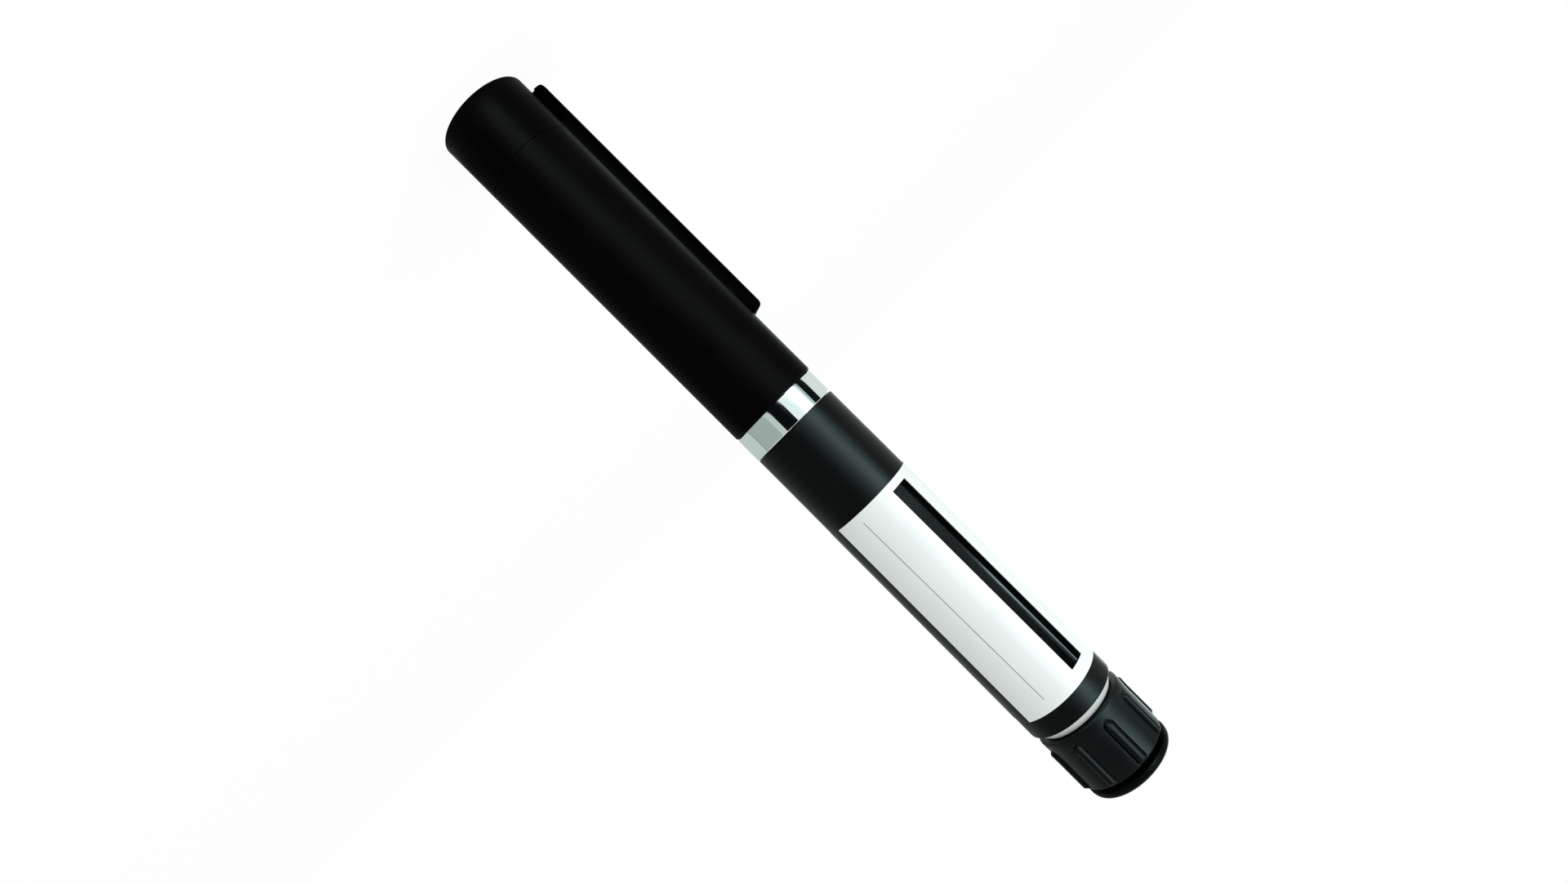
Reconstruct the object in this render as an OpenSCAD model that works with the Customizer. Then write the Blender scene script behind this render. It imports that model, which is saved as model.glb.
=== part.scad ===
// Dial-a-dose injection pen, closed, standing on its cap.
// +Z runs from the cap's closed end to the dose button. The pocket clip is on the -X side.
// All sizes are in millimetres.

/* [Cap] */
// Length of the cap from its closed end to its mouth
cap_len = 69.5; // [67:0.5:73]
// Height of the crown piece at the closed end
crown_h = 11.8; // [11:0.1:13]
// Wall of the cap tube at its mouth
cap_wall = 0.91; // [0.7:0.01:1.1]
// How much smaller the cap's radius is at its closed end
cap_taper = 0.06; // [0.02:0.01:0.35]
// Rounding of the edge at the closed end
cap_edge_r = 0.3; // [0.2:0.05:0.9]
// Thickness of the cap's closed end
cap_floor = 2.5; // [2:0.1:3.5]
// Radius of the plug in the closed end
plug_r = 4.4; // [3.5:0.1:5]
// Free length in the cap for the needle
needle_room = 14.5; // [13:0.5:17]
// Number of guide ribs in the cap liner
liner_ribs = 6; // [4:1:8]

/* [Pocket clip] */
// Length of the clip
clip_len = 53.6; // [44:0.2:58]
// Width of the clip
clip_w = 4; // [3:0.1:5]
// Thickness of the clip's bar
clip_t = 1.5; // [1.2:0.05:2]
// Gap between the clip's bar and the crown
clip_gap = 0.85; // [0.7:0.05:1.2]
// Distance from the closed end to the clip
clip_z = 2.45; // [2.3:0.05:3.2]

/* [Barrel] */
// Length of the barrel shell
barrel_len = 65.75; // [62:0.25:72]
// Wall of the barrel at its front end
barrel_wall = 0.81; // [0.65:0.01:1]
// How much wider the barrel's radius is at the knob end
barrel_flare = 0.24; // [0.05:0.01:0.4]
// Rounding of the barrel's edge at the knob end
barrel_edge_r = 0.3; // [0.2:0.02:0.6]
// Height of the chrome collar ring
ring_h = 5.07; // [4:0.05:6]
// How far the collar ring stands proud of the barrel
ring_proud = 0.07; // [0:0.01:0.15]
// Height of the bevelled ring at the barrel's end
trim_h = 1.5; // [1:0.1:2]

/* [Window and label] */
// Width of the window slot
window_w = 3.6; // [3:0.05:5]
// Distance from the barrel's front end to the window
window_z = 18.75; // [17:0.25:20]
// Distance from the window to the barrel's end at the knob
window_end_gap = 6.3; // [6:0.1:9]
// Direction of the window round the pen, in degrees
window_deg = 248.6; // [200:0.2:270]
// How far the lens stands proud of the barrel
lens_proud = 0.2; // [0.05:0.01:0.35]
// Radius of the lens's magnifying crown
lens_crown_r = 3.2; // [2.6:0.1:6]
// How far the label runs past the window's front end
label_lead = 1.5; // [0.5:0.1:2]
// How far the label runs past the window's other end
label_tail = 2.4; // [1:0.1:3]
// Thickness of the label
label_t = 0.1; // [0.05:0.01:0.15]
// How far round the barrel the label goes, in degrees
label_wrap = 322; // [250:1:350]
// Direction of the label's free edge, in degrees
label_edge_deg = 341; // [330:1:352]

/* [Knob and button] */
// Radius of the knob between its ribs
knob_r = 8.33; // [8.1:0.01:8.6]
// Height of the ribs over the knob
rib_proud = 0.63; // [0.3:0.01:0.8]
// Number of grip ribs
rib_count = 8; // [5:1:10]
// Width of a rib at its top
rib_top_w = 1.75; // [1.2:0.05:2.2]
// Width of a rib at its foot
rib_foot_w = 2.3; // [2.2:0.05:3]
// Length of the ribs
rib_len = 8.7; // [6.5:0.1:10]
// Direction of the first rib, in degrees
rib_deg = 275.5; // [240:0.1:290]
// Height of the knob's skirt below its ribs
skirt_h = 1.75; // [1.2:0.05:2.2]
// How far the skirt stands over the knob between its ribs
skirt_proud = 0.17; // [0.05:0.01:0.25]
// Height of the groove between knob and button
groove_h = 1; // [0.9:0.05:1.4]
// Radius of the dose button
button_r = 8.3; // [7.8:0.01:8.4]
// Height of the dose button above the groove
button_h = 1.9; // [1.75:0.05:2.6]
// Rounding of the dose button's edge
button_edge_r = 1.3; // [0.8:0.05:1.5]
// Travel of the dose button
button_travel = 0.8; // [0.5:0.05:0.8]

/* [Dose mechanism] */
// Travel of the knob at the largest dose
dose_travel = 20; // [16:0.5:20]
// Rise of the number drum in one turn
drum_lead = 8; // [7:0.25:9]
// Wall of the number drum
drum_wall = 0.9; // [0.8:0.05:1.1]
// Wall of the inner housing round the drum
housing_wall = 0.72; // [0.65:0.01:0.9]
// Radius over the threads of the plunger rod
screw_r = 3; // [2.8:0.05:3.1]
// Depth of the plunger rod's thread
thread_depth = 0.65; // [0.5:0.05:0.7]
// Rise of the plunger rod's thread in one turn
screw_lead = 6.2; // [5.8:0.1:6.6]
// Wall of the drive sleeve
sleeve_wall = 1.1; // [0.9:0.05:1.2]
// Wall of the guide tube
guide_wall = 1.3; // [1.1:0.05:1.4]
// Number of clutch teeth
clutch_teeth = 20; // [12:2:24]

/* [Cartridge] */
// Outer radius of the cartridge
cart_r = 5.8; // [5.6:0.05:5.85]
// Wall of the cartridge
cart_wall = 0.975; // [0.9:0.025:1.2]
// Length of the cartridge
cart_len = 64; // [62:0.5:65]
// Stroke of the stopper
stroke = 31; // [27:0.5:32]
// Length of the stopper
stopper_len = 8; // [6:0.5:8.5]
// Wall of the cartridge holder
holder_wall = 0.68; // [0.6:0.02:0.75]
// Radius of the needle nose over its thread
nose_r = 4.6; // [4.5:0.05:4.9]
// Length of the needle nose
nose_len = 7; // [6.5:0.1:7.5]

/* [Clearances] */
// Radial gap between pieces that turn or slide in each other
run_gap = 0.08; // [0.05:0.01:0.1]
// Gap between pieces that are pressed or glued together
seat_gap = 0.02; // [0.01:0.005:0.04]
// Gap between loosely placed pieces
free_gap = 0.25; // [0.2:0.01:0.3]

/* [Hidden] */
$fn = 96;
// Steps of a rounded edge, and steps of one turn of a thread
arc_steps = 8;
thread_steps = 20;
// Overrun of every cut
cut = 1;

// Radii from the plunger rod outwards
sleeve_bore_r = screw_r + free_gap;
sleeve_r = sleeve_bore_r + sleeve_wall;
guide_bore_r = sleeve_r + run_gap;
guide_r = guide_bore_r + guide_wall;
drum_bore_r = guide_r + free_gap;
drum_r = drum_bore_r + drum_wall;
housing_bore_r = drum_r + run_gap;
housing_r = housing_bore_r + housing_wall;
barrel_bore_r = housing_r + seat_gap;
barrel_front_r = barrel_bore_r + barrel_wall;
barrel_rear_r = barrel_front_r + barrel_flare;
ring_r = barrel_front_r + ring_proud;
cap_bore_r = housing_r + seat_gap;
cap_mouth_r = cap_bore_r + cap_wall;
cap_end_r = cap_mouth_r - cap_taper;
spigot_r = cap_bore_r - run_gap;

// Radii round the cartridge
cart_bore_r = cart_r - cart_wall;
holder_bore_r = cart_r + run_gap;
holder_r = holder_bore_r + holder_wall;
holder_seat_r = holder_r + seat_gap;

// Heights from the closed end upwards
nose_z = cap_floor + needle_room;
nose_lip = 0.8;
cart_z = nose_z + nose_lip + seat_gap;
cart_end_z = cart_z + cart_len;
cushion_h = 3.5;
nut_z = cart_end_z + cushion_h + 2 * seat_gap;
nut_h = 5;
guide_z = nut_z + nut_h;
spigot_len = 12;
spigot_z = cap_len - spigot_len;
ring_z = cap_len + run_gap;
barrel_z = ring_z + ring_h;
barrel_end_z = barrel_z + barrel_len;
trim_z = barrel_end_z + seat_gap;
knob_z = trim_z + trim_h + free_gap;
rib_z = knob_z + skirt_h;
rib_end_gap = 0.3;
knob_end_z = rib_z + rib_len + rib_end_gap;
button_z = knob_end_z + groove_h;
button_end_z = button_z + button_h;
window_low_z = barrel_z + window_z;
window_end_z = barrel_end_z - window_end_gap;
window_len = window_end_z - window_low_z;
label_z = window_low_z - label_lead;
label_end_z = window_end_z + label_tail;

// Radius of the tapered cap and of the tapered barrel at a height
function cap_r_at(z) = cap_end_r + cap_taper * z / cap_len;
function barrel_r_at(z) = barrel_front_r + barrel_flare * (z - barrel_z) / barrel_len;
// Points of a circular arc in a turned profile
function arc(x, y, r, from, to) = [
    for (i = [0:arc_steps])
        let (a = from + (to - from) * i / arc_steps)
        [x + r * cos(a), y + r * sin(a)]
];

// Crown, its plug and the pocket for the clip's foot
crown_bore_r = 6.2;
crown_neck_len = 4;
plug_lip = 1.2;
plug_head_r = plug_r + plug_lip;
plug_head_h = 1;
plug_face_h = cap_floor - plug_head_h;
pocket_wall = 0.6;
pocket_r = crown_bore_r + pocket_wall;
clip_toe = 0.35;
pocket_z = clip_z + clip_toe - free_gap;
pocket_h = 6;
seam_edge = 0.12;

// Clip
clip_in_r = cap_r_at(clip_z) + clip_gap;
clip_out_r = clip_in_r + clip_t;
clip_foot_r = pocket_r + free_gap;
clip_root_r = 0.95;
clip_toe_r = cap_r_at(clip_z) + free_gap;
clip_tip_r = 1.3;
clip_bump_len = 5;
clip_bump_z = clip_z + clip_len - clip_tip_r - clip_bump_len;
clip_bump_r = cap_r_at(clip_bump_z + clip_bump_len) + free_gap;
clip_edge = 0.35;

// Liner
liner_margin = 1.5;
liner_z = crown_h + crown_neck_len + seat_gap;
liner_end_z = spigot_z - liner_margin;
liner_r = cap_bore_r - seat_gap;
liner_bore_r = holder_r + 2 * free_gap;
liner_rib_w = 1;
liner_lead_in = 1;

// Spigot of the inner housing, with two lands that guide the cap
land_h = 2.5;
land_inset = 0.8;
land_step = 0.25;
ring_seat_r = housing_r - land_step;
ring_edge = 0.22;

// Cartridge holder
holder_collar_h = 0.9;
holder_collar_r = spigot_r - land_step;
holder_shoulder_h = 3;
holder_slot_w = 4.5;
holder_slot_inset = 16;
holder_slot_margin = 4;
holder_slot_z = nose_z + holder_slot_inset;
holder_slot_end_z = spigot_z - holder_slot_margin;
nose_hole_r = 2.4;
nose_edge = 0.4;

// Cartridge neck and its seal
crimp_wall = 0.2;
crimp_hole_r = 1.9;
crimp_tuck = 0.45;
septum_t = 1;
septum_plug_len = 1.4;
nose_wall = 0.7;
nose_bore_r = nose_r - nose_wall;
crimp_r = nose_bore_r - run_gap;
rim_r = crimp_r - crimp_wall - seat_gap;
rim_h = 2.4;
rim_step = 0.7;
neck_r = rim_r - rim_step;
neck_wall = 1.3;
neck_bore_r = neck_r - neck_wall;
neck_len = 2.4;
shoulder_len = 4.4;
rim_z = cart_z + crimp_wall + septum_t + 2 * seat_gap;
neck_z = rim_z + rim_h;
shoulder_z = neck_z + neck_len;
bore_z = shoulder_z + shoulder_len;

// Stopper, foot and plunger rod
stopper_z = bore_z + stroke + free_gap;
stopper_r = cart_bore_r - run_gap / 2;
stopper_groove = 0.35;
stopper_rib_shares = [[0, 0.2], [0.34, 0.56], [0.7, 0.9]];
stopper_slope_share = 0.06;
foot_z = stopper_z + stopper_len + seat_gap;
foot_h = 2.5;
foot_r = cart_bore_r - 2 * free_gap;
journal_r = 1.3;
journal_len = 1.8;
rod_z = foot_z + foot_h - journal_len + run_gap;
rod_thread_z = foot_z + foot_h + free_gap;
rod_spare = 2;
rod_end_z = guide_z + stroke + rod_spare;
rod_core_r = screw_r - thread_depth;
thread_starts = 2;
thread_gap = 0.2;
thread_top_w = 0.8;
thread_root_w = thread_top_w + 1.4 * thread_depth;

// Drive sleeve, its guide and the clutch
key_len = 4;
key_w = 1.4;
key_gap = 0.3;
guide_foot_h = 1.2;
guide_stop = 1.6;
key_z = guide_z + guide_foot_h + free_gap;
guide_slot_end_z = key_z + key_len + dose_travel + free_gap;
guide_end_z = guide_slot_end_z + guide_stop;
sleeve_z = guide_z + free_gap;
bulkhead_h = 2;
bulkhead_z = barrel_end_z - bulkhead_h;
tooth_h = 0.8;
tooth_gap = 0.2;
clutch_z = bulkhead_z + bulkhead_h + 2 * tooth_h + tooth_gap;
clutch_h = 1.4;
clutch_r = drum_bore_r - free_gap;
sleeve_flange_h = 1;
sleeve_flange_z = clutch_z + clutch_h + seat_gap;
sleeve_end_z = sleeve_flange_z + sleeve_flange_h;

// Number drum
drum_z = guide_z + guide_foot_h + free_gap;
drum_socket_len = 4.9;
drum_end_z = knob_z + drum_socket_len;
groove_depth = drum_wall / 2;
groove_w = 1.6;
groove_gap = 0.2;
groove_end_deg = 10;
groove_turns = dose_travel / drum_lead;
lug_r = groove_w / 2 - groove_gap;
lug_inset = 2.4;
lug_z = barrel_end_z - lug_inset;
lug_deg = window_deg - 180;

// Knob and button
skirt_r = knob_r + skirt_proud;
skirt_flat_share = 0.6;
knob_edge = 0.3;
knob_web_h = 1.2;
knob_web_z = drum_end_z + seat_gap;
knob_well_r = drum_r;
knob_web_hole_r = 3;
button_crown = 0.15;
button_skirt_r = knob_well_r - run_gap;
button_skirt_wall = 0.9;
button_skirt_z = knob_web_z + knob_web_h + button_travel + free_gap;
button_stem_r = knob_web_hole_r - free_gap;
button_stem_z = sleeve_end_z + button_travel + free_gap;

// Spring under the button
spring_wire_r = 0.25;
spring_step = 1.6;
spring_r = knob_web_hole_r + spring_step;
spring_turns = 4;
spring_z = knob_web_z + knob_web_h;
spring_sides = 6;
spring_rings = 12;

// Wall of the bevelled ring at its thin end
trim_wall = 0.4;

// Window lens and label
lens_gap = 0.03;
lens_low_r = housing_bore_r + run_gap;
lens_top_r = barrel_rear_r + lens_proud;
label_cut = 0.08;

// Polar place helper: moves children out along a direction round the pen
module at_deg(deg, r = 0, z = 0) {
    rotate([0, 0, deg])
        translate([r, 0, z])
            children();
}

// Round peg, or a bore when it is taken away, between two heights
module peg(r, z0, z1) {
    translate([0, 0, z0])
        cylinder(r = r, h = z1 - z0);
}

// Tube between two heights
module tube(r, bore_r, z0, z1) {
    difference() {
        peg(r, z0, z1);
        peg(bore_r, z0 - cut, z1 + cut);
    }
}

// Radial bar of a given width between two radii and two heights
module radial_bar(deg, r0, r1, w, z0, z1) {
    at_deg(deg)
        translate([r0, -w / 2, z0])
            cube([r1 - r0, w, z1 - z0]);
}

// Ring of four points across a thread ridge at a height, turned so that every length of thread meets
function thread_ring(z, start_deg, root_r, top_r, root_w, top_w) =
    let (deg = 360 * z / screw_lead + start_deg)
    [
        for (p = [[root_r, -root_w], [root_r, root_w], [top_r, top_w], [top_r, -top_w]])
            [p[0] * cos(deg), p[0] * sin(deg), z + p[1] / 2]
    ];

// All starts of a thread ridge between two heights, widened by a gap where it is cut from a nut
module thread_ridges(root_r, z0, z1, gap = 0) {
    steps = ceil(thread_steps * (z1 - z0) / screw_lead);
    for (i = [0:thread_starts - 1])
        swept([
            for (k = [0:steps])
                thread_ring(
                    z0 + (z1 - z0) * k / steps, 360 * i / thread_starts,
                    root_r, screw_r + gap, thread_root_w + 2 * gap, thread_top_w + 2 * gap
                )
        ]);
}

// Ring of clutch teeth on a flat face; up is 1 for teeth that point up and -1 for teeth that point down
module clutch_teeth_on(r0, r1, z, up) {
    pitch = 360 / clutch_teeth;
    tooth_w = 2 * r0 * sin(pitch / 2);
    for (i = [0:clutch_teeth - 1])
        at_deg(i * pitch, r0, z)
            rotate([90, 0, 90])
                linear_extrude(height = r1 - r0)
                    polygon([[-tooth_w / 2, 0], [tooth_w / 2, 0], [0, up * tooth_h]]);
}

// Closed tube swept along a list of rings of points
module swept(rings) {
    sides = len(rings[0]);
    count = len(rings);
    points = [for (ring = rings) each ring];
    walls = [
        for (i = [0:count - 2])
            for (j = [0:sides - 1])
                let (k = (j + 1) % sides)
                each [
                    [i * sides + j, (i + 1) * sides + j, (i + 1) * sides + k],
                    [i * sides + j, (i + 1) * sides + k, i * sides + k]
                ]
    ];
    ends = [
        for (j = [1:sides - 2])
            each [
                [0, j, j + 1],
                [(count - 1) * sides, (count - 1) * sides + j + 1, (count - 1) * sides + j]
            ]
    ];
    polyhedron(points, concat(walls, ends));
}

module cap_crown() {
    color("#111212")
        difference() {
            rotate_extrude()
                polygon(concat(
                    [[0, 0]],
                    arc(cap_end_r - cap_edge_r, cap_edge_r, cap_edge_r, -90, 0),
                    [
                        [cap_r_at(crown_h), crown_h],
                        [cap_bore_r - seat_gap, crown_h],
                        [cap_bore_r - seat_gap, crown_h + crown_neck_len],
                        [0, crown_h + crown_neck_len]
                    ]
                ));
            peg(crown_bore_r, cap_floor, crown_h + crown_neck_len + cut);
            peg(plug_r + seat_gap, -cut, cap_floor + cut);
            peg(plug_head_r + seat_gap, plug_face_h, cap_floor + cut);
            radial_bar(
                180, pocket_r, cap_mouth_r + cut, clip_w + 2 * free_gap,
                pocket_z, pocket_z + pocket_h
            );
        }
}

module cap_end_plug() {
    color("#141515") {
        peg(plug_r, 0, plug_face_h + seat_gap);
        peg(plug_head_r, plug_face_h + seat_gap, cap_floor);
    }
}

module cap_tube() {
    mouth_edge = cap_wall / 4;
    color("#0e0f0f")
        difference() {
            rotate_extrude()
                polygon([
                    [0, crown_h + seat_gap],
                    [cap_r_at(crown_h) - seam_edge, crown_h + seat_gap],
                    [cap_r_at(crown_h), crown_h + seat_gap + seam_edge],
                    [cap_mouth_r - cap_taper * mouth_edge / cap_len, cap_len - mouth_edge],
                    [cap_mouth_r - mouth_edge, cap_len],
                    [0, cap_len]
                ]);
            peg(cap_bore_r, crown_h - cut, cap_len + cut);
        }
}

module cap_liner() {
    color("#2a2c2c") {
        difference() {
            peg(liner_r, liner_z, liner_end_z);
            peg(liner_bore_r, liner_z - cut, liner_end_z + cut);
            translate([0, 0, liner_end_z - liner_lead_in])
                cylinder(r1 = liner_bore_r, r2 = liner_r - seat_gap, h = liner_lead_in + seat_gap);
        }
        for (i = [0:liner_ribs - 1])
            intersection() {
                tube(
                    liner_bore_r + free_gap, holder_r + free_gap, liner_z, liner_end_z - 2 * liner_lead_in
                );
                radial_bar(
                    360 * (i + 0.5) / liner_ribs, holder_r, liner_r, liner_rib_w, liner_z, liner_end_z
                );
            }
    }
}

module clip() {
    tip_z = clip_z + clip_len;
    color("#0b0c0c")
        intersection() {
            // Side profile of the clip, seen along Y
            translate([0, clip_w / 2, 0])
                rotate([90, 0, 0])
                    linear_extrude(height = clip_w)
                        polygon(concat(
                            [[-clip_toe_r - clip_toe, clip_z]],
                            arc(-clip_out_r + clip_root_r, clip_z + clip_root_r, clip_root_r, 270, 180),
                            arc(-clip_out_r + clip_tip_r, tip_z - clip_tip_r, clip_tip_r, 180, 90),
                            [
                                [-clip_in_r + clip_edge, tip_z],
                                [-clip_bump_r, tip_z - clip_tip_r],
                                [-clip_bump_r, clip_bump_z + clip_bump_len / 2],
                                [-clip_in_r, clip_bump_z],
                                [-clip_in_r, pocket_z + pocket_h - free_gap],
                                [-clip_foot_r, pocket_z + pocket_h - free_gap],
                                [-clip_foot_r, pocket_z + free_gap],
                                [-clip_toe_r, pocket_z + free_gap]
                            ]
                        ));
            // Cross-section of the clip with its two outer edges bevelled
            translate([0, 0, clip_z - cut])
                linear_extrude(height = clip_len + 2 * cut)
                    polygon([
                        [0, -clip_w / 2],
                        [-clip_out_r + clip_edge, -clip_w / 2],
                        [-clip_out_r, -clip_w / 2 + clip_edge],
                        [-clip_out_r, clip_w / 2 - clip_edge],
                        [-clip_out_r + clip_edge, clip_w / 2],
                        [0, clip_w / 2]
                    ]);
        }
}

module collar_ring() {
    color("#d8dedc")
        difference() {
            rotate_extrude()
                polygon([
                    [0, ring_z],
                    [ring_r - ring_edge, ring_z],
                    [ring_r, ring_z + ring_edge],
                    [ring_r, barrel_z - seat_gap - ring_edge],
                    [ring_r - ring_edge, barrel_z - seat_gap],
                    [0, barrel_z - seat_gap]
                ]);
            peg(ring_seat_r + seat_gap, ring_z - cut, barrel_z + cut);
        }
}

module window_slot(r0, r1) {
    radial_bar(window_deg, r0, r1, window_w, window_low_z, window_end_z);
}

module barrel() {
    edge_r = barrel_r_at(barrel_end_z - barrel_edge_r);
    color("#101413")
        difference() {
            rotate_extrude()
                polygon(concat(
                    [[0, barrel_z], [barrel_front_r, barrel_z]],
                    arc(edge_r - barrel_edge_r, barrel_end_z - barrel_edge_r, barrel_edge_r, 0, 90),
                    [[0, barrel_end_z]]
                ));
            peg(barrel_bore_r, barrel_z - cut, barrel_end_z + cut);
            window_slot(drum_r, barrel_rear_r + cut);
        }
}

module inner_housing() {
    color("#3a3d3d") {
        difference() {
            rotate_extrude()
                polygon([
                    [0, spigot_z],
                    [spigot_r - land_step, spigot_z],
                    [spigot_r - land_step, spigot_z + land_inset],
                    [spigot_r, spigot_z + land_inset + land_step],
                    [spigot_r, spigot_z + land_inset + land_h],
                    [spigot_r - land_step, spigot_z + land_inset + land_h + land_step],
                    [spigot_r - land_step, ring_z - land_inset - land_h - land_step],
                    [spigot_r, ring_z - land_inset - land_h],
                    [spigot_r, ring_z - land_inset],
                    [ring_seat_r, ring_z - land_inset + land_step],
                    [ring_seat_r, barrel_z],
                    [housing_r, barrel_z],
                    [housing_r, barrel_end_z],
                    [0, barrel_end_z]
                ]);
            peg(holder_seat_r, spigot_z - cut, nut_z);
            peg(housing_bore_r, nut_z, barrel_end_z + cut);
            window_slot(drum_r - cut, housing_r + cut);
        }
        // Lug that runs in the drum's helical groove
        at_deg(lug_deg, drum_r - groove_depth + run_gap, lug_z)
            rotate([0, 90, 0])
                cylinder(r = lug_r, h = housing_r - housing_wall / 2 - drum_r + groove_depth - run_gap);
    }
}

module window_lens() {
    color("#202626", 0.6)
        intersection() {
            radial_bar(
                window_deg, lens_low_r, lens_top_r + cut, window_w - 2 * lens_gap,
                window_low_z + lens_gap, window_end_z - lens_gap
            );
            at_deg(window_deg, lens_top_r - lens_crown_r, window_low_z)
                cylinder(r = lens_crown_r, h = window_len);
        }
}

module label() {
    low_r = barrel_r_at(label_z) + seat_gap;
    high_r = barrel_r_at(label_end_z) + seat_gap;
    color("#f2f7f6")
        difference() {
            rotate([0, 0, label_edge_deg - label_wrap])
                rotate_extrude(angle = label_wrap)
                    polygon([
                        [low_r, label_z],
                        [low_r + label_t, label_z],
                        [high_r + label_t, label_end_z],
                        [high_r, label_end_z]
                    ]);
            radial_bar(
                window_deg, 0, lens_top_r + cut, window_w + 2 * label_cut,
                window_low_z - label_cut, window_end_z + label_cut
            );
        }
}

module end_trim() {
    color("#b9c3c0")
        difference() {
            translate([0, 0, trim_z])
                cylinder(
                    r1 = barrel_r_at(barrel_end_z - barrel_edge_r) - barrel_edge_r,
                    r2 = drum_r + trim_wall,
                    h = trim_h
                );
            peg(housing_bore_r, trim_z - cut, trim_z + trim_h + cut);
        }
}

module cartridge_holder() {
    lip_z = nose_z + nose_lip;
    color("#dfe6e4", 0.5)
        difference() {
            rotate_extrude()
                polygon([
                    [nose_hole_r, nose_z],
                    [nose_r - nose_edge, nose_z],
                    [nose_r, nose_z + nose_edge],
                    [nose_r, nose_z + nose_len],
                    [holder_r, nose_z + nose_len + holder_shoulder_h],
                    [holder_r, spigot_z - holder_collar_h - seat_gap],
                    [holder_collar_r, spigot_z - holder_collar_h - seat_gap],
                    [holder_collar_r, spigot_z - seat_gap],
                    [holder_r, spigot_z - seat_gap],
                    [holder_r, nut_z - seat_gap],
                    [holder_bore_r, nut_z - seat_gap],
                    [holder_bore_r, bore_z],
                    [nose_bore_r, shoulder_z],
                    [nose_bore_r, lip_z],
                    [nose_hole_r, lip_z]
                ]);
            // Viewing slots on two sides
            for (side = [0, 180])
                radial_bar(
                    window_deg + side, cart_bore_r, holder_r + cut, holder_slot_w,
                    holder_slot_z, holder_slot_end_z
                );
        }
}

module cartridge_glass() {
    color("#cfe3df", 0.35)
        rotate_extrude()
            polygon([
                [neck_bore_r, rim_z],
                [rim_r, rim_z],
                [rim_r, neck_z],
                [neck_r, neck_z],
                [neck_r, shoulder_z],
                [cart_r - free_gap, bore_z - free_gap],
                [cart_r, bore_z + free_gap],
                [cart_r, cart_end_z],
                [cart_bore_r, cart_end_z],
                [cart_bore_r, bore_z],
                [neck_bore_r, shoulder_z + free_gap]
            ]);
}

module crimp_seal() {
    inside_r = crimp_r - crimp_wall;
    color("#c9cdd0")
        rotate_extrude()
            polygon([
                [crimp_hole_r, cart_z],
                [crimp_r, cart_z],
                [crimp_r, neck_z + crimp_wall + seat_gap],
                [inside_r - crimp_tuck, neck_z + crimp_wall + seat_gap],
                [inside_r - crimp_tuck, neck_z + seat_gap],
                [inside_r, neck_z + seat_gap],
                [inside_r, cart_z + crimp_wall],
                [crimp_hole_r, cart_z + crimp_wall]
            ]);
}

module septum() {
    face_z = cart_z + crimp_wall + seat_gap;
    color("#8f4a3a") {
        peg(rim_r, face_z, face_z + septum_t);
        peg(neck_bore_r - seat_gap, face_z, face_z + septum_t + septum_plug_len);
    }
}

module cartridge_cushion() {
    color("#4b4f4f")
        tube(cart_r, cart_bore_r, cart_end_z + seat_gap, cart_end_z + seat_gap + cushion_h);
}

module drive_nut() {
    color("#c6cbc9")
        difference() {
            peg(housing_bore_r - seat_gap, nut_z, guide_z - seat_gap);
            peg(rod_core_r + thread_gap, nut_z - cut, guide_z + cut);
            thread_ridges(rod_core_r, nut_z - cut, guide_z + cut, thread_gap);
        }
}

module guide_tube() {
    color("#d9dcdb")
        difference() {
            union() {
                peg(housing_bore_r - seat_gap, guide_z, guide_z + guide_foot_h);
                peg(guide_r, guide_z, guide_end_z);
            }
            peg(guide_bore_r, guide_z - cut, guide_end_z + cut);
            for (side = [0, 180])
                radial_bar(
                    side, 0, guide_r + cut, key_w + 2 * key_gap, guide_z + guide_foot_h, guide_slot_end_z
                );
        }
}

module stopper() {
    color("#5b6163")
        rotate_extrude()
            polygon(concat(
                [[0, stopper_z], [stopper_r - stopper_groove, stopper_z]],
                [
                    for (s = stopper_rib_shares)
                        each [
                            [stopper_r - stopper_groove, stopper_z + s[0] * stopper_len],
                            [stopper_r, stopper_z + (s[0] + stopper_slope_share) * stopper_len],
                            [stopper_r, stopper_z + (s[1] - stopper_slope_share) * stopper_len],
                            [stopper_r - stopper_groove, stopper_z + s[1] * stopper_len]
                        ]
                ],
                [
                    [stopper_r - stopper_groove, stopper_z + stopper_len],
                    [0, stopper_z + stopper_len]
                ]
            ));
}

module rod_foot() {
    color("#e2e4e3")
        difference() {
            peg(foot_r, foot_z, foot_z + foot_h);
            peg(journal_r + run_gap, rod_z - run_gap, foot_z + foot_h + cut);
        }
}

module plunger_rod() {
    color("#e8e9e6") {
        peg(journal_r, rod_z, rod_thread_z + run_gap);
        peg(rod_core_r, rod_thread_z, rod_end_z);
        thread_ridges(
            rod_core_r - run_gap, rod_thread_z + thread_root_w / 2, rod_end_z - thread_root_w / 2
        );
    }
}

module drive_sleeve() {
    color("#c8d0d4")
        difference() {
            union() {
                peg(sleeve_r, sleeve_z, sleeve_end_z);
                peg(clutch_r, sleeve_flange_z, sleeve_end_z);
                for (side = [0, 180])
                    radial_bar(
                        side, sleeve_bore_r + sleeve_wall / 2, guide_r - run_gap, key_w,
                        key_z, key_z + key_len
                    );
            }
            peg(sleeve_bore_r, sleeve_z - cut, sleeve_flange_z);
        }
}

module clutch_ring() {
    bore_r = sleeve_r + seat_gap;
    color("#b4bcc2")
        union() {
            tube(clutch_r, bore_r, clutch_z, clutch_z + clutch_h);
            clutch_teeth_on(bore_r + run_gap, clutch_r - run_gap, clutch_z + seat_gap, -1);
        }
}

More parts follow.
